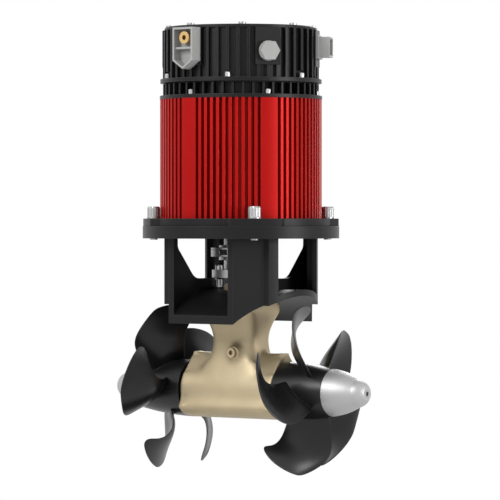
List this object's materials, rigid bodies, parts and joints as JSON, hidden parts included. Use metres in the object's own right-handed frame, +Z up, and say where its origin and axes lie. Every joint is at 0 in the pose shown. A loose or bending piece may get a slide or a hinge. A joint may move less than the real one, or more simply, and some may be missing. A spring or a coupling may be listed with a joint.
{
  "type": "bow thruster",
  "caption": "Electric tunnel thruster: ribbed motor with its drive unit, windowed saddle bracket, right-angle bevel gear case and counter-rotating propellers.",
  "frame": {"origin": "where the drive shaft's axis meets the propeller shafts' axis, on the tunnel's axis", "axes": "+X along the tunnel and the propeller shafts, +Z up the drive shaft to the motor, +Y completes the right hand"},
  "size_m": [0.3166, 0.2034, 0.4636],
  "materials": {
    "bronze": "cast and satin",
    "black_composite": "satin moulding",
    "black_paint": "semi-gloss black",
    "red_anodised": "satin red on extruded ribs",
    "steel": "machined",
    "bolt_steel": "bright",
    "anode_metal": "turned",
    "coupling_metal": "machined",
    "rubber": "matt",
    "grey_plastic": "fine grained",
    "brass": "turned",
    "copper": "varnished wire",
    "core_iron": "stacked sheets",
    "magnet": "plated",
    "board_green": "lacquered",
    "capacitor_sleeve": "shrunk sleeve",
    "transistor_black": "moulded"
  },
  "bodies": {
    "housing": {"bearing_circlips": "steel", "bearing_spacers": "steel", "capacitors": "capacitor_sleeve", "circuit_board": "board_green", "connector_pins": "brass", "cover_screws": "bolt_steel", "drive_bearing_outer_rings": "steel", "drive_cover": "black_paint", "drive_gasket": "rubber", "drive_heat_sink": "black_paint", "drive_lid": "black_paint", "drive_shaft_seal": "rubber", "end_plate_screws": "bolt_steel", "flange_bolts": "bolt_steel", "flange_washers": "bolt_steel", "front_terminal_housing": "grey_plastic", "front_terminal_stud": "brass", "gear_case": "bronze", "gear_case_bolts": "bolt_steel", "gear_case_washers": "bolt_steel", "lid_screws": "bolt_steel", "motor_bearing_outer_rings": "steel", "motor_flange": "black_paint", "motor_housing": "red_anodised", "oil_plug": "bronze", "power_transistors": "transistor_black", "propeller_bearing_outer_rings": "steel", "propeller_shaft_seals": "rubber", "rear_terminal_housing": "grey_plastic", "rear_terminal_stud": "brass", "signal_connector": "grey_plastic", "stator_core": "core_iron", "stator_windings": "copper", "tunnel_bracket": "black_paint", "vent_plug": "grey_plastic"},
    "drive_train": {"drive_shaft": "steel", "drive_pinion": "steel", "drive_bearing_inner_rings": "steel", "lower_coupling_half": "coupling_metal", "upper_coupling_half": "coupling_metal", "coupling_spider": "rubber", "coupling_clamp_screws": "bolt_steel", "motor_shaft": "steel", "rotor_core": "core_iron", "rotor_magnets": "magnet", "motor_bearing_inner_rings": "steel"},
    "right_propeller_unit": {"right_propeller_shaft": "steel", "right_bevel_wheel": "steel", "right_bearing_inner_ring": "steel", "right_propeller": "black_composite", "right_drive_pin": "steel", "right_anode": "anode_metal", "right_anode_screw": "bolt_steel"},
    "left_propeller_unit": {"left_propeller_shaft": "steel", "left_bevel_wheel": "steel", "left_bearing_inner_ring": "steel", "left_propeller": "black_composite", "left_drive_pin": "steel", "left_anode": "anode_metal", "left_anode_screw": "bolt_steel"}
  },
  "joints": [
    {"name": "drive_spin", "type": "hinge", "parent": "housing", "child": "drive_train", "pos_m": [0, 0, 0], "axis": [0, 0, 1], "continuous": true},
    {"name": "right_propeller_spin", "type": "hinge", "parent": "housing", "child": "right_propeller_unit", "pos_m": [0, 0, 0], "axis": [1, 0, 0], "continuous": true},
    {"name": "left_propeller_spin", "type": "hinge", "parent": "housing", "child": "left_propeller_unit", "pos_m": [0, 0, 0], "axis": [1, 0, 0], "continuous": true}
  ],
  "couplings": [
    {"joint": "right_propeller_spin", "follows": "drive_spin", "ratio": -0.57143},
    {"joint": "left_propeller_spin", "follows": "drive_spin", "ratio": 0.57143}
  ]
}
